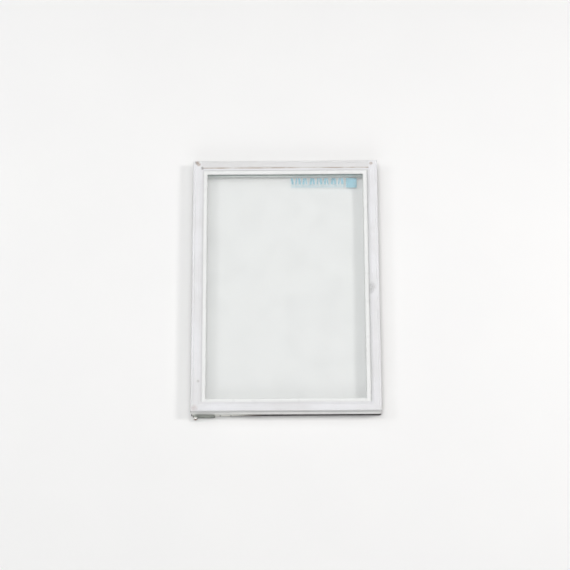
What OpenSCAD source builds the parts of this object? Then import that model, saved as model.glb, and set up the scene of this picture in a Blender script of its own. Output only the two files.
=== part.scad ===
// Glazed refrigerator door leaf, lying on its front face with the magnetic gasket up.
// X runs across the door, Y along the hinge side from its lower to its upper end, Z out of the
// cabinet side. The origin is under the middle of the whole part, on the plane it rests on.

/* [Door leaf] */
// Width across the gasket
door_w = 540; // [460:5:620]
// Length across the gasket, along the hinge side
door_l = 796; // [600:5:1000]
// How far the gasket stands out past the frame walls
gasket_overhang = 1.5; // [1:0.25:2]
// Width of the rim, from the gasket's outer edge to the clear glass
rim_w = 42.5; // [41.5:0.25:46]
// Width of the hollow rails, from the gasket's outer edge to their inner wall
rail_w = 28; // [27.5:0.25:28]
// Height of the dark front trim
trim_h = 12; // [11.5:0.5:12.5]
// Height of the white frame above the trim
frame_h = 17; // [17:0.25:18]
// Height of the gasket above the frame
gasket_h = 9; // [9:0.25:11]
// Radius of the trim and frame corners in plan
corner_r = 4; // [2:0.5:6]

/* [Glazing] */
// Thickness of each pane
pane_t = 4; // [3:0.5:4]
// Gap between the two panes
pane_gap = 14; // [12:0.5:16]
// Depth of the groove between the rails' inner wall and the pane edges
edge_gap = 3; // [2.5:0.25:3]
// Height of the glazing bead above the glass
bead_h = 3.2; // [2.5:0.1:4]
// Width of the spacer bars
spacer_w = 6.5; // [5:0.5:7]

/* [Hinge] */
// Distance of the pivot from the gasket's outer edge, on the hinge side
pivot_in = 14; // [13:0.5:15]
// Radius of the pivot pin
pin_r = 3; // [2.5:0.25:3]
// Length of the bracket arm, from the pivot to the centre of its rounded end
arm_l = 49; // [48:1:70]
// Radius of the arm around the pivot
arm_r = 7.5; // [7:0.25:7.5]
// Radius of the arm's free end
arm_end_r = 6.5; // [6:0.25:7]
// Thickness of the arm
arm_t = 3.5; // [3:0.5:4]
// Length of the tapered hinge plate
plate_l = 196; // [185:1:240]
// Angle of the bracket from the door's lower edge
bracket_angle = 0; // [0:5:115]

/* [Hidden] */
$fn = 64;
SIDES = ["lower", "free", "upper", "hinge"];

// Heights, from the front face up
trim_top = trim_h;
frame_top = trim_top + frame_h;
glass_top = frame_top + 1;
inner_pane_z = glass_top - pane_t;
spacer_z = inner_pane_z - pane_gap;
outer_pane_z = spacer_z - pane_t;
lip_t = 2.5;
tape_t = outer_pane_z - lip_t;

// Distances inward from the gasket's outer edge
wall_u = gasket_overhang;
pane_u = rail_w + edge_gap;
spacer_u = rim_w - 1 - spacer_w;
// The trim's front lip stops short of the spacer, and the pale tape on it reaches the spacer's inner face
lip_u = rim_w - 6;

// Walls of the hollow frame rails, and of the trim that wraps their front edge
trim_wall = 2.5;
frame_wall = 2.2;
hollow_u = wall_u + trim_wall + frame_wall;
hollow_bottom = lip_t + frame_wall;
hollow_top = frame_top - frame_wall;

// Gasket dart and magnet
dart_u = rail_w / 2;
dart_slot = 2.4;
dart_z = hollow_top - 2.6;
magnet_w = 11;
magnet_t = 3.4;
magnet_z = frame_top + 4.1;

// Corner keys in the hollows, under the darts
key_leg = 48;
key_gap = 0.3;
key_z = hollow_bottom + key_gap;
key_h = dart_z - 0.5 - key_z;

// Hinge stack, measured outward from the lower frame wall
plate_t = 1.5;
washer_t = 0.8;
washer_r = 7;
run_gap = 0.3;
arm_y = plate_t + washer_t + run_gap;
flange_t = 0.8;
outer_washer_y = arm_y + arm_t + flange_t + run_gap;
nut_y = outer_washer_y + washer_t;
nut_hex_h = 4;
nut_h = 6.5;
nut_flat = 12;
hinge_reach = nut_y + nut_h;
pin_in = 40;
pin_out = nut_y + nut_hex_h;
bush_wall = 2;
bush_clearance = 0.06;
pin_hole_clearance = 0.3;
screw_r = 1.5;
screw_head_r = 2.8;
screw_head_h = 1.7;
screw_l = 10;
bracket_hole_r = 2.75;
bracket_hole_gap = 22;
bracket_hole_first = 24;

pivot_x = -door_w / 2 + pivot_in;
// The pin passes through the trim, just under its top edge
pivot_z = trim_top - pin_r - pin_hole_clearance - 0.1;
wall_y = -door_l / 2 + wall_u;
// The whole part is centred on the origin, hinge included
door_shift = (hinge_reach - wall_u) / 2;
plate_x = pivot_x - 9;
screw_xs = [pivot_x + 70, pivot_x + 100, pivot_x + 130];
screw_z = trim_top - 3.8;
upper_bore_r = pin_r + 0.05;
upper_bore_l = 30;

// Puts door coordinates, centred on the leaf, into the part's frame
module placed() {
    translate([0, door_shift, 0]) children();
}

// Outline of the leaf with its small corner radii, inset by u
module leaf_plan(u, r) {
    w = door_w - 2 * u;
    l = door_l - 2 * u;
    square([w, l - 2 * r], center = true);
    square([w - 2 * r, l], center = true);
    for (x = [-1, 1], y = [-1, 1]) translate([x * (w / 2 - r), y * (l / 2 - r)]) circle(r);
}

// One mitred rail: extrudes a profile, drawn as distance inward and height, along a side
module rail(side, depth = rim_w) {
    len = side % 2 == 0 ? door_w : door_l;
    out = side % 2 == 0 ? door_l / 2 : door_w / 2;
    placed() rotate(90 * side) translate([0, -out, 0]) intersection() {
        translate([-len / 2, 0, 0]) rotate([90, 0, 90]) linear_extrude(len) children();
        linear_extrude(2 * (frame_top + gasket_h), center = true)
            polygon([[-len / 2, 0], [len / 2, 0], [len / 2 - depth, depth], [-len / 2 + depth, depth]]);
    }
}

module rounded_rail(side, depth = rim_w) {
    intersection() {
        rail(side, depth) children();
        placed() linear_extrude(frame_top + gasket_h) leaf_plan(wall_u, corner_r);
    }
}

// An angle: its upright wall covers the frame's foot, its flange is the front lip
module trim_profile() {
    polygon([
        [wall_u, 1], [wall_u + 1, 0], [lip_u - 0.8, 0], [lip_u, 0.8], [lip_u, lip_t],
        [wall_u + trim_wall, lip_t], [wall_u + trim_wall, trim_top], [wall_u, trim_top]
    ]);
}

module frame_profile() {
    difference() {
        polygon([
            [wall_u + trim_wall, lip_t], [rail_w, lip_t], [rail_w, frame_top], [wall_u, frame_top],
            [wall_u, trim_top], [wall_u + trim_wall, trim_top]
        ]);
        polygon([
            [hollow_u, hollow_bottom], [rail_w - frame_wall, hollow_bottom],
            [rail_w - frame_wall, hollow_top], [wall_u + frame_wall, hollow_top],
            [wall_u + frame_wall, trim_top + frame_wall], [hollow_u, trim_top + frame_wall]
        ]);
        translate([dart_u - dart_slot / 2, hollow_top - 1]) square([dart_slot, frame_wall + 2]);
    }
}

module gasket_profile() {
    shank = dart_slot / 2 - 0.1;
    barb = shank + 0.6;
    top = frame_top + gasket_h;
    difference() {
        polygon([
            [4, frame_top], [dart_u - shank, frame_top], [dart_u - shank, dart_z + 1.3],
            [dart_u - barb, dart_z + 0.8], [dart_u - 0.8, dart_z], [dart_u + 0.8, dart_z],
            [dart_u + barb, dart_z + 0.8], [dart_u + shank, dart_z + 1.3],
            [dart_u + shank, frame_top], [24, frame_top], [24.6, frame_top + 2.4],
            [rail_w, frame_top + 4], [rail_w, top - 2.5], [rail_w - 1.4, top - 0.8],
            [rail_w - 3.2, top], [3, top], [1, top - 0.8], [0, top - 2.2], [0, top - 4.8],
            [3.4, frame_top + 2.4]
        ]);
        translate([dart_u - magnet_w / 2 - 0.1, magnet_z - 0.1])
            square([magnet_w + 0.2, magnet_t + 0.2]);
    }
}

module magnet_profile() {
    translate([dart_u - magnet_w / 2, magnet_z]) square([magnet_w, magnet_t]);
}

module bead_profile() {
    clip_u = rail_w + 0.3;
    top = glass_top + bead_h;
    polygon([
        [clip_u, glass_top - 10], [clip_u + 1.5, glass_top - 10], [clip_u + 1.5, glass_top],
        [rim_w, glass_top], [rim_w, glass_top + 0.6], [rim_w - 1, top - 0.7], [rim_w - 2.4, top],
        [rail_w + 3.6, top], [rail_w + 2.4, top - 0.5], [rail_w + 1.8, glass_top + 1.4],
        [clip_u, glass_top + 1]
    ]);
}

module spacer_profile() {
    wall = 0.8;
    difference() {
        translate([spacer_u, spacer_z]) square([spacer_w, pane_gap]);
        translate([spacer_u + wall, spacer_z + wall])
            square([spacer_w - 2 * wall, pane_gap - 2 * wall]);
    }
}

// Holes for the two hinge pins and the plate's screws, through the outer walls of a side
module hinge_holes(side) {
    depth = trim_wall + frame_wall + 2;
    if (side == 0) {
        pivot_hole(wall_y - 1, depth);
        for (x = screw_xs) along_y(x, screw_z, wall_y - 1) cylinder(r = screw_r + 0.02, h = depth);
    }
    if (side == 2) pivot_hole(door_l / 2 - wall_u + 1 - depth, depth);
}

module front_trim(side) {
    color([0.18, 0.15, 0.14]) difference() {
        rounded_rail(side) trim_profile();
        hinge_holes(side);
    }
}

module frame_rail(side) {
    color([0.9, 0.9, 0.89]) difference() {
        rounded_rail(side, rail_w) frame_profile();
        hinge_holes(side);
    }
}

module gasket(side) color([0.88, 0.88, 0.9]) rail(side, rail_w) gasket_profile();
module magnet(side) color([0.25, 0.22, 0.2]) rail(side, rail_w) magnet_profile();
module bead(side) color([0.93, 0.93, 0.92]) rail(side) bead_profile();
module spacer(side) color([0.7, 0.72, 0.71]) rail(side) spacer_profile();

// A cylinder's axis turned along +Y, starting at height z and distance y along the door
module along_y(x, z, y) {
    placed() translate([x, y, z]) rotate([-90, 0, 0]) children();
}

module pivot_hole(y, l) {
    along_y(pivot_x, pivot_z, y) cylinder(r = pin_r + pin_hole_clearance, h = l);
}

// L-shaped key in the frame's hollow at one corner: sx and sy pick the corner
module corner_key(sx, sy) {
    u = hollow_u + key_gap;
    w = rail_w - frame_wall - key_gap - u;
    placed() translate([sx * (door_w / 2 - u), sy * (door_l / 2 - u), key_z])
        mirror([sx > 0 ? 1 : 0, 0, 0]) mirror([0, sy > 0 ? 1 : 0, 0]) {
            cube([key_leg, w, key_h]);
            cube([w, key_leg, key_h]);
        }
}

module corner_keys() {
    color([0.8, 0.8, 0.78]) for (sy = [-1, 1]) corner_key(1, sy);
}

module pivot_corner_lower() {
    color([0.75, 0.75, 0.73]) difference() {
        corner_key(-1, -1);
        along_y(pivot_x, pivot_z, wall_y) cylinder(r = pin_r + 0.02, h = pin_in);
    }
}

module pivot_corner_upper() {
    color([0.75, 0.75, 0.73]) difference() {
        corner_key(-1, 1);
        along_y(pivot_x, pivot_z, door_l / 2 - hollow_u - key_gap - upper_bore_l)
            cylinder(r = upper_bore_r, h = upper_bore_l + 1);
    }
}

// A flat ring of the glazing unit, between two distances inward
module glazing_ring(u_out, u_in, z, h) {
    placed() translate([0, 0, z]) difference() {
        translate([-door_w / 2 + u_out, -door_l / 2 + u_out, 0])
            cube([door_w - 2 * u_out, door_l - 2 * u_out, h]);
        translate([-door_w / 2 + u_in, -door_l / 2 + u_in, -1])
            cube([door_w - 2 * u_in, door_l - 2 * u_in, h + 2]);
    }
}

module pane(z) {
    placed() translate([-door_w / 2 + pane_u, -door_l / 2 + pane_u, z])
        cube([door_w - 2 * pane_u, door_l - 2 * pane_u, pane_t]);
}

module edge_sealant() color([0.25, 0.25, 0.25]) glazing_ring(pane_u, spacer_u, spacer_z, pane_gap);
module glazing_tape() color([0.8, 0.8, 0.79]) glazing_ring(pane_u + 2, rim_w - 1, lip_t, tape_t);
module inner_pane() color([0.8, 0.9, 0.87, 0.4]) pane(inner_pane_z);
module outer_pane() color([0.8, 0.9, 0.87, 0.4]) pane(outer_pane_z);

module spacer_keys() {
    wall = 0.95;
    u = spacer_u + wall;
    w = spacer_w - 2 * wall;
    h = pane_gap - 2 * wall;
    leg = 30;
    color([0.4, 0.42, 0.42]) placed() for (sx = [-1, 1], sy = [-1, 1])
        translate([sx * (door_w / 2 - u), sy * (door_l / 2 - u), spacer_z + wall])
            mirror([sx > 0 ? 1 : 0, 0, 0]) mirror([0, sy > 0 ? 1 : 0, 0]) {
                cube([leg, w, h]);
                cube([w, leg, h]);
            }
}

// Blocks that centre the glazing unit in the frame, two on each side
module setting_blocks() {
    block_l = 40;
    block_h = 11;
    t = edge_gap - 0.1;
    color([0.2, 0.3, 0.45]) placed() {
        for (sx = [-1, 1], sy = [-1, 1]) {
            translate([sx * (door_w / 2 - rail_w - edge_gap / 2), sy * door_l / 4, outer_pane_z + 1])
                translate([-t / 2, -block_l / 2, 0]) cube([t, block_l, block_h]);
            translate([sx * door_w / 4, sy * (door_l / 2 - rail_w - edge_gap / 2), outer_pane_z + 1])
                translate([-block_l / 2, -t / 2, 0]) cube([block_l, t, block_h]);
        }
    }
}

// Stands things out from the lower frame wall: y is the distance outward, z up
module hinge_stack(x, z, out) {
    placed() translate([x, wall_y - out, z]) rotate([90, 0, 0]) children();
}

// Covers the trim's height at the pivot and tapers to a thin end
module hinge_plate() {
    bottom_z = 1;
    tip_z = trim_top - 4;
    shoulder = 69;
    color([0.62, 0.64, 0.62]) difference() {
        hinge_stack(0, 0, 0) linear_extrude(plate_t) {
            polygon([
                [plate_x, bottom_z + 1], [plate_x + 1, bottom_z], [plate_x + shoulder, bottom_z],
                [plate_x + plate_l, tip_z], [plate_x + plate_l, trim_top], [plate_x, trim_top]
            ]);
            translate([pivot_x, pivot_z]) circle(washer_r + 0.3);
        }
        hinge_stack(pivot_x, pivot_z, -1) cylinder(r = pin_r + pin_hole_clearance, h = plate_t + 2);
        for (x = screw_xs) hinge_stack(x, screw_z, -1) cylinder(r = screw_r + 0.25, h = plate_t + 2);
    }
}

module plate_screw() {
    slot_w = 0.8;
    slot_l = 3.6;
    difference() {
        union() {
            translate([0, 0, -screw_l]) cylinder(r = screw_r, h = screw_l);
            rotate_extrude() polygon([
                [0, 0], [screw_head_r, 0], [screw_head_r, 0.7], [screw_head_r - 0.5, 1.4],
                [screw_head_r - 1.4, screw_head_h], [0, screw_head_h]
            ]);
        }
        for (a = [0, 90]) rotate(a) translate([-slot_l / 2, -slot_w / 2, screw_head_h - 1])
            cube([slot_l, slot_w, 2]);
    }
}

module plate_screws() {
    color([0.75, 0.75, 0.74]) for (x = screw_xs) hinge_stack(x, screw_z, plate_t) plate_screw();
}

module pivot_pin() {
    color([0.72, 0.72, 0.7]) hinge_stack(pivot_x, pivot_z, 0) {
        translate([0, 0, 0.5 - pin_in]) cylinder(r = pin_r, h = pin_in + pin_out - 1);
        translate([0, 0, pin_out - 0.5]) cylinder(r1 = pin_r, r2 = pin_r - 0.5, h = 0.5);
    }
}

module washer() {
    difference() {
        cylinder(r = washer_r, h = washer_t);
        translate([0, 0, -1]) cylinder(r = pin_r + 0.02, h = washer_t + 2);
    }
}

module washers() {
    color([0.78, 0.78, 0.77]) for (y = [plate_t, outer_washer_y])
        hinge_stack(pivot_x, pivot_z, y) washer();
}

// Domed cap nut on the end of the pivot pin
module cap_nut() {
    dome_h = nut_h - nut_hex_h;
    dome_r = nut_flat / 2 - 0.4;
    // Radius of the sphere whose cap has the dome's height and base
    ball_r = (dome_r * dome_r + dome_h * dome_h) / (2 * dome_h);
    color([0.85, 0.85, 0.84]) hinge_stack(pivot_x, pivot_z, nut_y) difference() {
        union() {
            cylinder(r = nut_flat / sqrt(3), h = nut_hex_h, $fn = 6);
            intersection() {
                translate([0, 0, nut_hex_h + dome_h - ball_r]) sphere(ball_r);
                cylinder(r = dome_r, h = nut_h + 1);
            }
        }
        translate([0, 0, -1]) cylinder(r = pin_r + 0.02, h = nut_hex_h + 1.2);
    }
}

// The cabinet-side arm and its bush turn about the pivot pin
module on_bracket() {
    placed() translate([pivot_x, wall_y, pivot_z]) rotate([0, -bracket_angle, 0])
        rotate([90, 0, 0]) children();
}

module hinge_bracket() {
    // Angle of the straight sides, which start a little inside both round ends
    lean = asin((arm_r - arm_end_r) / arm_l);
    side_r = 0.98 * arm_r;
    side_end_r = 0.98 * arm_end_r;
    color([0.6, 0.62, 0.59]) difference() {
        on_bracket() translate([0, 0, arm_y]) linear_extrude(arm_t) {
            circle(arm_r);
            translate([arm_l, 0]) circle(arm_end_r);
            polygon([
                [side_r * sin(lean), side_r * cos(lean)], [side_r * sin(lean), -side_r * cos(lean)],
                [arm_l + side_end_r * sin(lean), -side_end_r * cos(lean)],
                [arm_l + side_end_r * sin(lean), side_end_r * cos(lean)]
            ]);
        }
        on_bracket() translate([0, 0, arm_y - 1]) cylinder(r = pin_r + bush_wall, h = arm_t + 2);
        on_bracket() for (i = [0, 1])
            translate([bracket_hole_first + i * bracket_hole_gap, 0, arm_y - 1])
                cylinder(r = bracket_hole_r, h = arm_t + 2);
    }
}

module bracket_bush() {
    color([0.92, 0.9, 0.85]) on_bracket() translate([0, 0, arm_y]) difference() {
        union() {
            cylinder(r = pin_r + bush_wall, h = arm_t);
            translate([0, 0, arm_t]) cylinder(r = pin_r + bush_wall + 1.5, h = flange_t);
        }
        translate([0, 0, -1]) cylinder(r = pin_r + bush_clearance, h = arm_t + flange_t + 2);
    }
}

// Printed film on the front of the outer pane, with no lettering
module front_label() {
    film_t = 0.3;
    label_w = 196;
    label_l = 33;
    side_margin = 14.5;
    end_margin = 1.5;
    x = door_w / 2 - rim_w - side_margin - label_w;
    y = door_l / 2 - rim_w - end_margin - label_l;
    color([0.55, 0.75, 0.85]) placed() translate([x, y, outer_pane_z - film_t])
        cube([label_w, label_l, film_t]);
}

for (i = [0:3]) {
    front_trim(i);
    frame_rail(i);
    gasket(i);
    magnet(i);
    bead(i);
    spacer(i);
}
spacer_keys();
edge_sealant();
glazing_tape();
inner_pane();
outer_pane();
setting_blocks();
corner_keys();
pivot_corner_lower();
pivot_corner_upper();
hinge_plate();
plate_screws();
pivot_pin();
washers();
cap_nut();
hinge_bracket();
bracket_bush();
front_label();
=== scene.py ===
"""Looks for a glazed refrigerator door leaf that lies on its front face, gasket up.

Metres, in the CAD frame: X across the door, Y along its hinge side, Z out of the gasket side.
"""
import math

import bmesh
import bpy
from mathutils import Matrix, Vector, noise


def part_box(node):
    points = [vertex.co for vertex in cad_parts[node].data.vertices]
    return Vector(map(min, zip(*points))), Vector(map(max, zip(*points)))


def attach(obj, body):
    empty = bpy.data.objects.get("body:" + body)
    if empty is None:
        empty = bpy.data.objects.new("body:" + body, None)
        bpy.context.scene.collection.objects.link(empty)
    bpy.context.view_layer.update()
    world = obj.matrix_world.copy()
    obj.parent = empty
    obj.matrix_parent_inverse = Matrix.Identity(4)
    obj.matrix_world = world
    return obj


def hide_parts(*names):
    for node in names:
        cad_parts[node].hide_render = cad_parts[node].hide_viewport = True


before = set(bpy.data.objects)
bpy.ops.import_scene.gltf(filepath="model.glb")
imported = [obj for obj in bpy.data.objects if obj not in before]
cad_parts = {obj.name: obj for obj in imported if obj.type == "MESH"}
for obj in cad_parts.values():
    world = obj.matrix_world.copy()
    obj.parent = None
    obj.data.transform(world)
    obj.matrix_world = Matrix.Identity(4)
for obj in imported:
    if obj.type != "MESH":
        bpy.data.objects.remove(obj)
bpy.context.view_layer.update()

MM = 0.001
SIDES = ("lower", "free", "upper", "hinge")

# The leaf's outline, from the gasket's CAD solids
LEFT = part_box("gasket_hinge")[0][0]
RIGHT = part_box("gasket_free")[1][0]
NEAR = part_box("gasket_lower")[0][1]
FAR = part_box("gasket_upper")[1][1]
LEAF_W = RIGHT - LEFT
LEAF_L = FAR - NEAR
MID_Y = (NEAR + FAR) / 2
GASKET_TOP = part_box("gasket_lower")[1][2]
FRAME_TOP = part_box("frame_lower")[1][2]
RAIL_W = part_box("gasket_lower")[1][1] - NEAR


# ---------------------------------------------------------------- camera, floor and lights

# The camera stands off the lower end of the door, far away and high, with a long lens
CAMERA_AIM = Vector((-0.0019, MID_Y + 0.01145, 0.0))
CAMERA_ELEVATION = math.radians(65.12)
CAMERA_AZIMUTH = math.radians(-0.53)
CAMERA_ROLL = math.radians(-0.82)
CAMERA_DISTANCE = 7.522
CAMERA_REACH = 100.0
LENS_MM = 164.25
SENSOR_MM = 36.0

# Soft boxes, all aimed at the leaf's middle: name, place, width, height, watts, colour
WHITE = (1, 1, 1)
SOFT_BOXES = (
    ("key_soft", (-0.5, -0.4, 7.5), 2.2, 4.4, 149, WHITE),
    ("front_soft", (-0.2, -6.0, 3.0), 5.0, 3.0, 98, WHITE),
    ("left_soft", (-2.6, 0.3, 2.4), 0.6, 0.7, 20, WHITE),
    ("right_soft", (2.5, 0.1, 2.4), 0.6, 0.7, 34, (1.0, 0.97, 0.96)),
    ("back_soft", (-1.7, 2.4, 3.2), 0.8, 0.8, 13, WHITE),
    ("back_panel", (0, 1.6, 3.5), 1.8, 2.0, 13, WHITE),
)
SKY_STRENGTH = 0.25
FLOOR_HALF = 30.0


def make_camera():
    """Aims the camera along its azimuth and elevation, then rolls it about its own axis."""
    forward = Vector((math.sin(CAMERA_AZIMUTH) * math.cos(CAMERA_ELEVATION),
                      math.cos(CAMERA_AZIMUTH) * math.cos(CAMERA_ELEVATION), -math.sin(CAMERA_ELEVATION)))
    level = forward.cross(Vector((0, 0, 1))).normalized()
    steep = level.cross(forward)
    right = math.cos(CAMERA_ROLL) * level + math.sin(CAMERA_ROLL) * steep
    up = math.cos(CAMERA_ROLL) * steep - math.sin(CAMERA_ROLL) * level
    data = bpy.data.cameras.new("camera")
    data.lens = LENS_MM
    data.sensor_width = SENSOR_MM
    data.clip_end = CAMERA_REACH
    camera = bpy.data.objects.new("camera", data)
    bpy.context.scene.collection.objects.link(camera)
    turn = Matrix((right, up, -forward)).transposed().to_4x4()
    camera.matrix_world = Matrix.Translation(CAMERA_AIM - forward * CAMERA_DISTANCE) @ turn
    bpy.context.scene.camera = camera


def soft_box(name, place, width, height, watts, colour):
    """A rectangular light that faces the middle of the leaf."""
    data = bpy.data.lights.new(name, "AREA")
    data.shape = "RECTANGLE"
    data.size = width
    data.size_y = height
    data.energy = watts
    data.color = colour
    light = bpy.data.objects.new(name, data)
    bpy.context.scene.collection.objects.link(light)
    direction = (Vector((0, MID_Y, 0)) - Vector(place)).normalized()
    facing = direction.to_track_quat("-Z", "Y").to_matrix().to_4x4()
    light.matrix_world = Matrix.Translation(place) @ facing


def make_studio():
    """An even pale sky, a floor and the soft boxes."""
    scene = bpy.context.scene
    scene.view_settings.view_transform = "Standard"
    scene.view_settings.look = "None"
    world = bpy.data.worlds.new("studio")
    world.use_nodes = True
    sky = world.node_tree.nodes["Background"]
    sky.inputs["Color"].default_value = (1.0, 1.0, 1.0, 1)
    sky.inputs["Strength"].default_value = SKY_STRENGTH
    scene.world = world

    corners = [(-FLOOR_HALF, -FLOOR_HALF, 0), (FLOOR_HALF, -FLOOR_HALF, 0),
               (FLOOR_HALF, FLOOR_HALF, 0), (-FLOOR_HALF, FLOOR_HALF, 0)]
    mesh = bpy.data.meshes.new("floor")
    mesh.from_pydata(corners, [], [(0, 1, 2, 3)])
    floor = bpy.data.objects.new("floor", mesh)
    scene.collection.objects.link(floor)
    mesh.materials.append(floor_paper())

    for box in SOFT_BOXES:
        soft_box(*box)


def floor_paper():
    """A plain pale sweep, matt."""
    m = NodeMaterial("floor_paper")
    m.base(m.mix(m.ramp(m.noise(3.0, 2.0), 0.3, 0.7), (0.925, 0.925, 0.92), (0.915, 0.915, 0.912)))
    m.rough(0.9)
    m.shader.inputs["Specular IOR Level"].default_value = 0.1
    return m.data


# ---------------------------------------------------------------- material helpers

class NodeMaterial:
    """A node material, with short calls for the nodes that these materials share."""

    def __init__(self, name):
        self.data = bpy.data.materials.new(name)
        self.data.use_nodes = True
        self.tree = self.data.node_tree
        self.shader = self.tree.nodes["Principled BSDF"]
        self.place = self.tree.nodes.new("ShaderNodeTexCoord").outputs["Object"]

    def link(self, source, target):
        self.tree.links.new(source, target)

    def node(self, kind, **inputs):
        """A node with its named inputs fed. An underscore stands for the space in an input's name."""
        made = self.tree.nodes.new(kind)
        for name, value in inputs.items():
            self.feed(made.inputs[name.replace("_", " ")], value)
        return made

    def feed(self, socket, value):
        """Links an output to the socket, or sets a plain value on it. A colour needs no alpha."""
        if isinstance(value, bpy.types.NodeSocket):
            self.link(value, socket)
        elif isinstance(value, tuple) and len(value) == 3 and len(socket.default_value) == 4:
            socket.default_value = (*value, 1)
        else:
            socket.default_value = value

    def stretched(self, scale):
        """The object's coordinates, scaled along each axis."""
        return self.node("ShaderNodeMapping", Vector=self.place, Scale=scale).outputs["Vector"]

    def noise(self, scale, detail=3.0, roughness=0.55, vector=None):
        return self.node("ShaderNodeTexNoise", Vector=vector or self.place, Scale=scale,
                         Detail=detail, Roughness=roughness).outputs["Fac"]

    def ramp(self, value, low, high, to_low=0.0, to_high=1.0):
        """A smooth step between two limits."""
        made = self.node("ShaderNodeMapRange", Value=value)
        made.interpolation_type = "SMOOTHSTEP"
        limits = {"From Min": low, "From Max": high, "To Min": to_low, "To Max": to_high}
        for name, number in limits.items():
            made.inputs[name].default_value = number
        return made.outputs["Result"]

    def math(self, operation, a, b=None):
        made = self.tree.nodes.new("ShaderNodeMath")
        made.operation = operation
        self.feed(made.inputs[0], a)
        if b is not None:
            self.feed(made.inputs[1], b)
        return made.outputs[0]

    def product(self, *factors):
        """The factors multiplied together, from the left."""
        total = factors[0]
        for factor in factors[1:]:
            total = self.math("MULTIPLY", total, factor)
        return total

    def mix(self, amount, a, b):
        """Colour a where the amount is 0, and b where it is 1."""
        made = self.tree.nodes.new("ShaderNodeMix")
        made.data_type = "RGBA"
        self.feed(made.inputs["Factor"], amount)
        self.feed(made.inputs["A"], a)
        self.feed(made.inputs["B"], b)
        return made.outputs["Result"]

    def spot(self, centre, radius, soft):
        """1 inside a ball around a point, 0 outside it, with a soft edge."""
        offset = self.node("ShaderNodeVectorMath", Vector=self.place)
        offset.operation = "DISTANCE"
        offset.inputs[1].default_value = centre
        return self.ramp(offset.outputs["Value"], radius * (1 - soft), radius * (1 + soft), 1.0, 0.0)

    def axis(self, index):
        """The object's X, Y or Z, by its index."""
        return self.node("ShaderNodeSeparateXYZ", Vector=self.place).outputs[index]

    def bump(self, height, strength, distance):
        made = self.node("ShaderNodeBump", Height=height, Strength=strength, Distance=distance)
        self.link(made.outputs["Normal"], self.shader.inputs["Normal"])

    def base(self, value):
        self.feed(self.shader.inputs["Base Color"], value)

    def rough(self, value):
        self.feed(self.shader.inputs["Roughness"], value)


# ---------------------------------------------------------------- materials

# The brown line along the upper length: full within the core, gone past the edge,
# and fading in between two distances from the leaf's sides
LINE_Y = FAR - 0.0240
LINE_CORE = 0.0006
LINE_EDGE = 0.0019
LINE_STARTS = 0.0235
LINE_FULL = 0.027
# The painted shade on the long sides' low edges fades out between these distances from the leaf's ends,
# and between these depths below the gasket's top
LOW_SHADE_FULL = 0.034
LOW_SHADE_ENDS = 0.030
LOW_SHADE_DEEP = 0.0042
LOW_SHADE_SHALLOW = 0.0015
# The painted shade on the lower length's rolled outer edge fades out between these distances inward
ROLL_SHADE_FULL = 0.0022
ROLL_SHADE_ENDS = 0.0056

VINYL = (0.815, 0.82, 0.842)
VINYL_SHADE = (0.765, 0.765, 0.775)
VINYL_UPPER = (0.70, 0.695, 0.69)
SPECK = (0.45, 0.42, 0.38)
LINE_BROWN = (0.34, 0.25, 0.19)
# The grey of the painted shade on the low edges of the flap and lip
LOW_SHADE_GREY = (0.50, 0.50, 0.50)
# The grey of the painted shade on the lower length's rolled outer edge
ROLL_SHADE_GREY = (0.42, 0.415, 0.41)
SCUFF_GREY = (0.42, 0.42, 0.42)

# Marks on the gasket: centre, radius, colour, strength
GASKET_MARKS = (
    # Two brown spots at the torn corner, and one at the upper free corner
    ((LEFT + 0.0120, FAR - 0.0055, GASKET_TOP), 0.0055, (0.26, 0.16, 0.09), 0.8),
    ((LEFT + 0.0165, FAR - 0.0120, GASKET_TOP), 0.0050, (0.30, 0.19, 0.11), 0.75),
    ((RIGHT - 0.0180, FAR - 0.0110, GASKET_TOP), 0.0050, (0.34, 0.24, 0.18), 0.7),
    # A dark grey spot in the inner corner nearest the tear, and a faint brown mark over the pivot
    ((LEFT + 0.0270, FAR - 0.0240, GASKET_TOP - 0.002), 0.0045, (0.25, 0.24, 0.24), 0.8),
    ((LEFT + 0.0105, NEAR + 0.012, GASKET_TOP), 0.009, (0.45, 0.36, 0.34), 0.45),
    # Grey scuffs halfway along the free side, and one low on the hinge side
    ((RIGHT - 0.0245, MID_Y - 0.012, GASKET_TOP - 0.001), 0.012, SCUFF_GREY, 0.55),
    ((RIGHT - 0.0250, MID_Y - 0.026, GASKET_TOP - 0.001), 0.008, SCUFF_GREY, 0.4),
    ((LEFT + 0.0210, NEAR + 0.094, GASKET_TOP), 0.004, (0.35, 0.33, 0.30), 0.5),
)
MARK_SOFTNESS = 0.6


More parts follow.
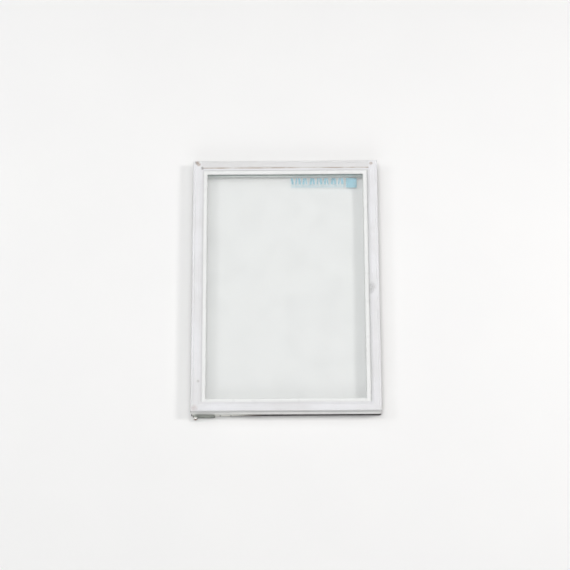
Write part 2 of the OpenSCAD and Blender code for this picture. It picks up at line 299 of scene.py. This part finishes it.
def gasket_vinyl():
    """Pale soft vinyl with specks and brown and grey marks, and painted shade on its low edges and rolled
    lower edge.
    """
    m = NodeMaterial("gasket_vinyl")
    clouds = m.noise(9.0, 4.0)
    tone = m.mix(m.ramp(clouds, 0.35, 0.7), VINYL, VINYL_SHADE)
    specks = m.ramp(m.noise(420.0, 2.0), 0.66, 0.74, 0.0, 0.35)
    tone = m.mix(specks, tone, SPECK)
    # The upper length is greyer, and a thin brown line runs along its crevice
    x = m.axis(0)
    y = m.axis(1)
    inside = m.ramp(m.math("ABSOLUTE", x), LEAF_W / 2 - LINE_STARTS, LEAF_W / 2 - LINE_FULL)
    upper = m.ramp(y, LINE_Y - 0.0015, LINE_Y)
    tone = m.mix(m.product(upper, inside, 0.55), tone, VINYL_UPPER)
    off_line = m.math("ABSOLUTE", m.math("SUBTRACT", y, LINE_Y))
    patchy = m.ramp(m.noise(16.0, 3.0), 0.38, 0.62, 0.25, 0.85)
    line = m.product(m.ramp(off_line, LINE_CORE, LINE_EDGE, 1.0, 0.0), m.product(inside, patchy))
    tone = m.mix(line, tone, LINE_BROWN)
    for centre, radius, colour, strength in GASKET_MARKS:
        broken = m.ramp(m.noise(260.0, 2.0), 0.35, 0.6, 0.45, 1.0)
        tone = m.mix(m.product(m.spot(centre, radius, MARK_SOFTNESS), broken, strength), tone, colour)
    # Painted shade greys the low edges along the two long sides: the flap where it dips into the groove,
    # and the lip
    low = m.ramp(m.axis(2), GASKET_TOP - LOW_SHADE_DEEP, GASKET_TOP - LOW_SHADE_SHALLOW, 0.45, 0.0)
    off_middle = m.math("ABSOLUTE", m.math("SUBTRACT", y, MID_Y))
    long_sides = m.ramp(off_middle, LEAF_L / 2 - LOW_SHADE_FULL, LEAF_L / 2 - LOW_SHADE_ENDS, 1, 0)
    tone = m.mix(m.product(low, long_sides), tone, LOW_SHADE_GREY)
    # Painted shade greys the rolled outer edge of the lower length
    rolled = m.ramp(y, NEAR + ROLL_SHADE_FULL, NEAR + ROLL_SHADE_ENDS, 0.72, 0.0)
    tone = m.mix(rolled, tone, ROLL_SHADE_GREY)
    m.base(tone)
    m.rough(m.ramp(m.noise(60.0, 3.0), 0.3, 0.7, 0.42, 0.58))
    m.shader.inputs["Specular IOR Level"].default_value = 0.35
    m.bump(m.noise(900.0, 2.0), 0.25, 0.0002)
    return m.data


def white_plastic(name, colour, roughness, dust=0.12):
    """Extruded white plastic with dust and scuffs."""
    m = NodeMaterial(name)
    faint = m.ramp(m.noise(14.0, 4.0), 0.3, 0.75)
    soiled = tuple(c * (1 - dust) for c in colour)
    tone = m.mix(faint, colour, soiled)
    scuffs = m.ramp(m.noise(150.0, 4.0, 0.7), 0.68, 0.78, 0.0, 0.4)
    tone = m.mix(scuffs, tone, tuple(c * 0.7 for c in colour))
    m.base(tone)
    m.rough(m.ramp(m.noise(45.0, 3.0), 0.3, 0.7, roughness - 0.06, roughness + 0.08))
    m.bump(m.noise(500.0, 2.0), 0.15, 0.0002)
    return m.data


def dark_trim():
    """Nearly black brown trim, satin, with paler scuffs."""
    m = NodeMaterial("dark_trim")
    tone = m.mix(m.ramp(m.noise(20.0, 4.0), 0.35, 0.7), (0.010, 0.007, 0.006), (0.020, 0.015, 0.013))
    scuffs = m.ramp(m.noise(1.0, 4.0, 0.7, m.stretched((40, 40, 400))), 0.62, 0.78, 0.0, 0.3)
    tone = m.mix(scuffs, tone, (0.10, 0.085, 0.078))
    m.base(tone)
    m.rough(m.ramp(m.noise(70.0, 3.0), 0.3, 0.7, 0.28, 0.46))
    m.shader.inputs["Specular IOR Level"].default_value = 0.3
    m.bump(m.noise(800.0, 2.0), 0.2, 0.0002)
    return m.data


def pane_glass():
    """Clear float glass with its faint green, seen and lit through. Dust dulls it slightly."""
    m = NodeMaterial("pane_glass")
    m.tree.nodes.remove(m.shader)
    out = m.tree.nodes["Material Output"]
    clear = m.node("ShaderNodeBsdfTransparent", Color=(0.995, 0.998, 0.997))
    dusty = m.ramp(m.noise(11.0, 5.0), 0.35, 0.8, 0.002, 0.014)
    dust = m.node("ShaderNodeBsdfDiffuse", Color=(0.80, 0.84, 0.83))
    gloss = m.node("ShaderNodeBsdfGlossy", Color=(1.0, 1.0, 1.0), Roughness=0.02)
    film = m.node("ShaderNodeMixShader", Fac=dusty)
    m.link(clear.outputs[0], film.inputs[1])
    m.link(dust.outputs[0], film.inputs[2])
    # Schlick's reflectance from the facing angle, with 4 percent straight on
    facing = m.node("ShaderNodeLayerWeight", Blend=0.5).outputs["Facing"]
    shine = m.math("ADD", m.math("MULTIPLY", m.math("POWER", facing, 5.0), 0.96), 0.04)
    top = m.node("ShaderNodeMixShader", Fac=shine)
    m.link(film.outputs[0], top.inputs[1])
    m.link(gloss.outputs[0], top.inputs[2])
    m.link(top.outputs[0], out.inputs["Surface"])
    return m.data


def spacer_metal():
    """Dull spacer bar, greenish through the panes; its dark upper band is the butyl seal and painted shade
    under the bead.
    """
    m = NodeMaterial("spacer_metal")
    spacer_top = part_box("spacer_lower")[1][2]
    tone = m.mix(m.ramp(m.noise(30.0, 3.0), 0.3, 0.7), (0.90, 0.94, 0.92), (0.82, 0.86, 0.84))
    # Painted shade: the band along the upper edge is dark for the butyl seal and for the shade under the
    # bead
    height = m.math("ADD", m.axis(2), m.math("MULTIPLY", m.noise(40.0, 3.0), 0.002))
    seal_and_shade_band = m.ramp(height, spacer_top - 0.0080, spacer_top - 0.0055)
    tone = m.mix(seal_and_shade_band, tone, (0.31, 0.36, 0.335))
    m.base(tone)
    m.shader.inputs["Metallic"].default_value = 0.1
    m.rough(m.ramp(m.noise(90.0, 2.0), 0.3, 0.7, 0.35, 0.5))
    waves = m.node("ShaderNodeTexWave", Vector=m.place, Scale=60.0, Distortion=0.5)
    m.bump(waves.outputs["Fac"], 0.2, 0.0003)
    return m.data


def steel(name, light, dark, roughness, brush=(60, 900, 900), soil=0.5, rust_and_shade_y=None):
    """Brushed plated steel, cloudy and dirty in patches, with a brown end nearer than the given edge: rust
    and painted shade.
    """
    m = NodeMaterial(name)
    tone = m.mix(m.ramp(m.noise(45.0, 4.0), 0.3, 0.7), light, dark)
    dirt = m.ramp(m.noise(110.0, 4.0, 0.65), 0.56, 0.72, 0.0, soil)
    tone = m.mix(dirt, tone, (0.10, 0.08, 0.065))
    if rust_and_shade_y is not None:
        # Rust and painted shade: the end nearer than the given edge turns brown
        edge = m.math("ADD", m.axis(1), m.math("MULTIPLY", m.noise(300.0, 3.0), 0.003))
        tone = m.mix(m.ramp(edge, rust_and_shade_y, rust_and_shade_y + 0.002, 0.85, 0.0), tone, (0.17, 0.10, 0.06))
    m.base(tone)
    m.shader.inputs["Metallic"].default_value = 0.9
    streaks = m.noise(1.0, 3.0, 0.6, m.stretched(brush))
    m.rough(m.ramp(streaks, 0.3, 0.7, roughness - 0.08, roughness + 0.1))
    m.bump(streaks, 0.12, 0.0001)
    return m.data


def hinge_strip_steel():
    """The tapered strip, a painted reflection: bright near the pivot, darker towards its thin end, mottled
    at random.
    """
    m = NodeMaterial("hinge_strip_steel")
    pivot_end, thin_end = (corner[0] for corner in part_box("hinge_plate"))
    # Painted reflection: bright near the pivot, fading to dark towards the thin end
    along = m.ramp(m.axis(0), pivot_end + 0.5 * (thin_end - pivot_end), thin_end)
    cloud = m.math("MULTIPLY", m.noise(60.0, 3.0), 0.25)
    reflection_fade = m.math("ADD", along, m.math("SUBTRACT", cloud, 0.12))
    tone = m.mix(reflection_fade, (0.80, 0.80, 0.76), (0.09, 0.075, 0.06))
    m.base(tone)
    m.shader.inputs["Metallic"].default_value = 0.55
    streaks = m.noise(1.0, 3.0, 0.6, m.stretched((40, 900, 900)))
    m.rough(m.ramp(streaks, 0.3, 0.7, 0.3, 0.45))
    m.bump(streaks, 0.12, 0.0001)
    return m.data


def plain(name, colour, roughness, spread=0.18):
    """A simple moulded or mixed surface with mottled colour and a fine grain."""
    m = NodeMaterial(name)
    darker = tuple(c * (1 - spread) for c in colour)
    m.base(m.mix(m.ramp(m.noise(80.0, 3.0), 0.3, 0.7), colour, darker))
    m.rough(m.ramp(m.noise(136.0, 2.0), 0.3, 0.7, roughness - 0.05, roughness + 0.07))
    m.bump(m.noise(720.0, 2.0), 0.15, 0.0002)
    return m.data


# ---------------------------------------------------------------- mesh helpers

def new_piece(name, mesh, body, mat):
    """A new visible piece that rides on a body."""
    piece = bpy.data.objects.new(name, mesh)
    bpy.context.scene.collection.objects.link(piece)
    mesh.materials.append(mat)
    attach(piece, body)
    return piece


def smooth_by_angle(mesh, degrees):
    """Smooth shading, but sharp where faces meet at more than the angle."""
    mesh.polygons.foreach_set("use_smooth", [True] * len(mesh.polygons))
    mesh.set_sharp_from_angle(angle=math.radians(degrees))


def sweep_mesh(name, rings):
    """A closed mesh through rings of points, with a flat cap at each end."""
    count = len(rings[0])
    verts = [p for ring in rings for p in ring]
    faces = []
    for ring_index in range(len(rings) - 1):
        here = ring_index * count
        ahead = here + count
        for i in range(count):
            j = (i + 1) % count
            faces.append((here + i, here + j, ahead + j, ahead + i))
    faces.append(tuple(range(count - 1, -1, -1)))
    last = (len(rings) - 1) * count
    faces.append(tuple(range(last, last + count)))
    mesh = bpy.data.meshes.new(name)
    mesh.from_pydata(verts, [], faces)
    bm = bmesh.new()
    bm.from_mesh(mesh)
    bmesh.ops.recalc_face_normals(bm, faces=bm.faces)
    bm.to_mesh(mesh)
    bm.free()
    return mesh


def from_side(side, along, inward, z):
    """A point given along a side, from its middle, and inward from the gasket's outer edge."""
    if side == "lower":
        return Vector((along, NEAR + inward, z))
    if side == "free":
        return Vector((RIGHT - inward, MID_Y + along, z))
    if side == "upper":
        return Vector((-along, FAR - inward, z))
    return Vector((LEFT + inward, MID_Y - along, z))


# ---------------------------------------------------------------- the gasket

# The gasket's section, in mm: inward from its outer edge, and down from its top.
# It has a rolled outer edge, grooves given as (centre, half width, depth), and a sloping flap.
ROLL_W = 2.4
ROLL_DROP = 2.6
CROWN = 0.12
SLOPE_DROP = 0.5
SLOPE_W = 5.6
CREVICE = 24.7
GROOVES = ((5.8, 2.4, 1.28), (17.9, 1.7, 0.75), (CREVICE, 1.3, 1.55))
RIB_STEPS = 28
FLAP_LINE = ((25.2, 1.55), (26.7, 2.2), (28.2, 2.85), (29.7, 3.55), (31.2, 4.2), (31.5, 4.45))


def ribbed_depth(u):
    """How far down the ribbed top lies at a distance inward, up to the crevice."""
    slope = SLOPE_DROP * max(0.0, 1 - (u - ROLL_W) / SLOPE_W)
    grooves = sum(depth * math.cos(math.pi / 2 * (u - centre) / half) ** 2
                  for centre, half, depth in GROOVES if abs(u - centre) < half)
    return CROWN + slope + grooves


def gasket_top_line():
    """The section's top, from the outer edge's underside to the flap's tip."""
    line = [(0.5, 5.0), (0.0, 4.2)]
    roll_rise = ROLL_DROP - CROWN - SLOPE_DROP
    for degrees in (0, 30, 60, 90):
        turn = math.radians(degrees)
        line.append((ROLL_W * (1 - math.cos(turn)), ROLL_DROP - roll_rise * math.sin(turn)))
    for i in range(1, RIB_STEPS + 1):
        u = ROLL_W + (CREVICE - ROLL_W) * i / RIB_STEPS
        line.append((u, ribbed_depth(u)))
    return line + list(FLAP_LINE)


# Back along the flap's underside, the bellows and the foot
GASKET_UNDER_LINE = (
    (31.2, 4.75), (29.8, 4.5), (28.2, 3.9), (27.0, 4.4), (25.4, 5.5), (23.8, 6.2), (23.2, 7.0), (24.0, 7.8),
    (24.0, 9.0), (4.0, 9.0), (4.0, 7.8), (4.8, 7.0), (4.2, 6.2), (2.4, 5.5),
)
# How wide the flap lies on each side, as a share of its section's width past the ribs
RIBS_END = 20.0
FLAP_SHARE = {"lower": 0.94, "free": 0.78, "upper": 0.88, "hinge": 1.0}
# How far the torn weld pulls the upper length back, and how far inward the tear goes
TEAR_LENGTH = 4.0 * MM
TEAR_DEPTH = 13.0 * MM
# The rings along a strip: their spacing, how far they wave sideways and down, the noise's scale,
# and its shift from side to side
RING_STEP = 8 * MM
SWAY = 0.9 * MM
SAG = 0.35 * MM
WAVE_SCALE = 5.0
SIDE_SHIFT = 7.3


def lay(side, u):
    """Where a point of the section lies on a side, in mm inward."""
    return u if u <= RIBS_END else RIBS_END + (u - RIBS_END) * FLAP_SHARE[side]


def tear_at(side, end, inward):
    """How far a torn weld pulls an end back: only the corner of the upper and the hinge side."""
    share = max(0.0, 1 - inward / TEAR_DEPTH)
    if side == "upper" and end > 0:
        return TEAR_LENGTH * share ** 0.7
    if side == "hinge" and end < 0:
        return 0.25 * TEAR_LENGTH * share
    return 0.0


def gasket_strip(side, mat):
    """One mitred length of the gasket, slightly wavy between its welded ends."""
    length = LEAF_W if side in ("lower", "upper") else LEAF_L
    section = gasket_top_line() + list(GASKET_UNDER_LINE)
    profile = [(lay(side, u) * MM, GASKET_TOP - d * MM) for u, d in section]
    steps = int(length / RING_STEP)
    rings = []
    for k in range(steps + 1):
        t = k / steps
        # The waves fade out towards the welded ends
        calm = min(1.0, 8 * t, 8 * (1 - t))
        ring = []
        for u, z in profile:
            low_end = -length / 2 + u + tear_at(side, -1, u)
            high_end = length / 2 - u - tear_at(side, 1, u)
            along = low_end + (high_end - low_end) * t
            seed = Vector((along * WAVE_SCALE, SIDES.index(side) * SIDE_SHIFT, 0))
            # The two lips wave most, and the foot in the frame stays still
            lip = min(1.0, abs(u - RAIL_W / 2) / (RAIL_W / 2)) ** 2
            lift = max(0.0, (z - FRAME_TOP) / (GASKET_TOP - FRAME_TOP))
            sway = SWAY * noise.noise(seed) * lip * lift * calm
            # The outer lip only sways inward, so it stays inside the leaf's outline
            if u < RAIL_W / 2:
                sway = abs(sway)
            drop = SAG * (0.5 + 0.5 * noise.noise(seed * 1.7)) * lip * lift * calm
            ring.append(from_side(side, along, u + sway, z - drop))
        rings.append(ring)
    mesh = sweep_mesh(f"gasket_strip_{side}", rings)
    smooth_by_angle(mesh, 50)
    piece = new_piece(f"gasket_strip_{side}", mesh, "door_leaf", mat)
    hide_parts(f"gasket_{side}")


# The weld flash: its radius, how much wider and flatter it is than round, how far it sinks
# into the vinyl, and its start and end in mm inward
SEAM_RADIUS = 0.28 * MM
SEAM_WIDER = 1.6
SEAM_FLATTER = 0.8
SEAM_SINK = 0.26 * MM
SEAM_START = 1.0
SEAM_END = 24.0
SEAM_SIDES = 8
SOUND_CORNERS = (("lower_hinge", -1, -1), ("lower_free", 1, -1), ("upper_free", 1, 1))


def weld_seams(mat):
    """The flash of the heat-welded mitres, a thin line over the section at the sound corners."""
    for name, sx, sy in SOUND_CORNERS:
        points = []
        for u, d in gasket_top_line():
            if not SEAM_START < u < SEAM_END:
                continue
            x = (LEAF_W / 2 - u * MM) * sx
            y = MID_Y + (LEAF_L / 2 - u * MM) * sy
            points.append(Vector((x, y, GASKET_TOP - d * MM - SEAM_SINK)))
        across = Vector((sy, -sx, 0)).normalized()
        rings = []
        for i, p in enumerate(points):
            ahead = (points[min(i + 1, len(points) - 1)] - points[max(i - 1, 0)]).normalized()
            normal = across.cross(ahead).normalized()
            if normal.z < 0:
                normal = -normal
            swell = SEAM_RADIUS * (1 + 0.5 * noise.noise(Vector((i * 0.8, sx * 3.1, sy * 5.7))))
            angles = [2 * math.pi * j / SEAM_SIDES for j in range(SEAM_SIDES)]
            rings.append([p + across * math.cos(a) * swell * SEAM_WIDER
                          + normal * math.sin(a) * swell * SEAM_FLATTER for a in angles])
        mesh = sweep_mesh(f"weld_seam_{name}", rings)
        smooth_by_angle(mesh, 60)
        new_piece(f"weld_seam_{name}", mesh, "door_leaf", mat)


# ---------------------------------------------------------------- the printed mark

# The mark's measures. Its bars' widths are shares of their pitch, taken in turn.
PRINT_MARGIN = 0.5 * MM
BLOCK = 31 * MM
BLOCK_MARGIN = 3 * MM
BLOCK_GAP = 5 * MM
BAR_LENGTH = 20 * MM
BAR_START = 2 * MM
BAR_COUNT = 15
BAR_SHARES = (0.54, 0.34, 0.62)
BAR_LEAN = 0.12
# The painted shadow row: its gap below the bars, its bars' share of their pitch, and its lean
SHADOW_ROW_GAP = 3 * MM
SHADOW_ROW_SHARE = 0.3
SHADOW_ROW_LEAN = 0.06


def add_slab(bm, x0, x1, y0, y1, z0, z1, lean=0.0):
    """A box whose far edge is shifted sideways by the lean."""
    corners = ((x0, y0), (x1, y0), (x1, y1), (x0, y1))
    verts = [bm.verts.new((x + lean * (y - y0), y, z)) for z in (z0, z1) for x, y in corners]
    for face in ((0, 3, 2, 1), (4, 5, 6, 7), (0, 1, 5, 4), (1, 2, 6, 5), (2, 3, 7, 6), (3, 0, 4, 7)):
        bm.faces.new([verts[i] for i in face])


def label_print_and_shadow(mat):
    """A generic printed mark on the film: plain bars and a plain block, no letters, and a finer row below,
    their painted shadow.
    """
    lo, hi = (Vector(corner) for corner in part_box("front_label"))
    top = hi.y - PRINT_MARGIN
    bm = bmesh.new()
    right = hi.x - BLOCK_MARGIN
    add_slab(bm, right - BLOCK, right, top - BLOCK, top, lo.z, hi.z)
    row_end = right - BLOCK - BLOCK_GAP
    pitch = (row_end - lo.x) / BAR_COUNT
    for i in range(BAR_COUNT):
        width = pitch * BAR_SHARES[i % len(BAR_SHARES)]
        lean = BAR_LEAN if i % 2 else -BAR_LEAN
        start = lo.x + i * pitch + BAR_START
        add_slab(bm, start, start + width, top - BAR_LENGTH, top, lo.z, hi.z, lean)
    # A second, finer row below the first: a painted shadow of the first row, in the ink's colour
    shadow_bar_count = 3 * BAR_COUNT
    shadow_bar_pitch = (row_end - lo.x) / shadow_bar_count
    for i in range(shadow_bar_count):
        start = lo.x + (i + SHADOW_ROW_SHARE) * shadow_bar_pitch
        add_slab(bm, start, start + SHADOW_ROW_SHARE * shadow_bar_pitch, top - BLOCK, top - BAR_LENGTH - SHADOW_ROW_GAP,
                 lo.z, hi.z, SHADOW_ROW_LEAN)
    mesh = bpy.data.meshes.new("label_print_and_shadow")
    bm.to_mesh(mesh)
    bm.free()
    piece = new_piece("label_print_and_shadow", mesh, "door_leaf", mat)
    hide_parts("front_label")


# ---------------------------------------------------------------- CAD nodes that stay

# How wide the edges of the CAD nodes are rounded
FINE_EDGE = 0.2 * MM
SOFT_EDGE = 0.3 * MM
TRIM_EDGE = 0.4 * MM
WIDE_EDGE = 0.5 * MM


def dress(node, mat, bevel=0.0):
    """Gives a CAD node its material, and rounds its sharp edges if a bevel is given."""
    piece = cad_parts[node]
    piece.data.materials.clear()
    piece.data.materials.append(mat)
    if bevel:
        rounding = piece.modifiers.new("edge_rounding", "BEVEL")
        rounding.width = bevel
        rounding.segments = 2
        rounding.limit_method = "ANGLE"
        rounding.angle_limit = math.radians(40)


make_camera()
make_studio()

vinyl = gasket_vinyl()
for side in SIDES:
    gasket_strip(side, vinyl)
weld_seams(vinyl)
# The label's ink, also the colour of the painted shadow row
label_print_and_shadow(plain("label_ink_and_shadow", (0.37, 0.70, 0.83), 0.5, spread=0.2))

frame_white = white_plastic("frame_white", (0.92, 0.92, 0.905), 0.45)
bead_white = white_plastic("bead_white", (0.835, 0.845, 0.84), 0.32, dust=0.05)
trim = dark_trim()
magnet = plain("magnet_ferrite", (0.085, 0.05, 0.035), 0.7, spread=0.4)
bar = spacer_metal()
for side in SIDES:
    dress(f"frame_{side}", frame_white, WIDE_EDGE)
    dress(f"bead_{side}", bead_white)
    dress(f"trim_{side}", trim, TRIM_EDGE)
    dress(f"magnet_{side}", magnet)
    dress(f"spacer_{side}", bar)

glass = pane_glass()
dress("inner_pane", glass)
dress("outer_pane", glass)
dress("edge_sealant", plain("butyl_sealant", (0.025, 0.028, 0.027), 0.6, spread=0.3))
dress("glazing_tape", plain("foam_tape", (0.86, 0.87, 0.86), 0.8, spread=0.12))
grey_key = plain("key_nylon", (0.45, 0.45, 0.43), 0.5)
for node in ("spacer_keys", "corner_keys", "pivot_corner_lower", "pivot_corner_upper"):
    dress(node, grey_key, SOFT_EDGE)
dress("setting_blocks", plain("block_plastic", (0.10, 0.16, 0.28), 0.5), SOFT_EDGE)
dress("hinge_plate", hinge_strip_steel(), SOFT_EDGE)
zinc = steel("zinc_plate", (0.62, 0.62, 0.60), (0.50, 0.50, 0.48), 0.34)
for node in ("plate_screws", "pivot_pin", "washers"):
    dress(node, zinc, FINE_EDGE)
# The nut's outer end is brown, for rust and for painted shade
nut_end_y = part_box("cap_nut")[0][1]
nut_plate = steel("nut_plate", (0.90, 0.90, 0.88), (0.80, 0.80, 0.78), 0.16,
                  brush=(200, 200, 200), soil=0.15, rust_and_shade_y=nut_end_y + 2.2 * MM)
dress("cap_nut", nut_plate, SOFT_EDGE)
dress("hinge_bracket", steel("bracket_plate", (0.36, 0.38, 0.35), (0.26, 0.28, 0.26), 0.42), WIDE_EDGE)
dress("bracket_bush", plain("bush_nylon", (0.62, 0.59, 0.52), 0.45))
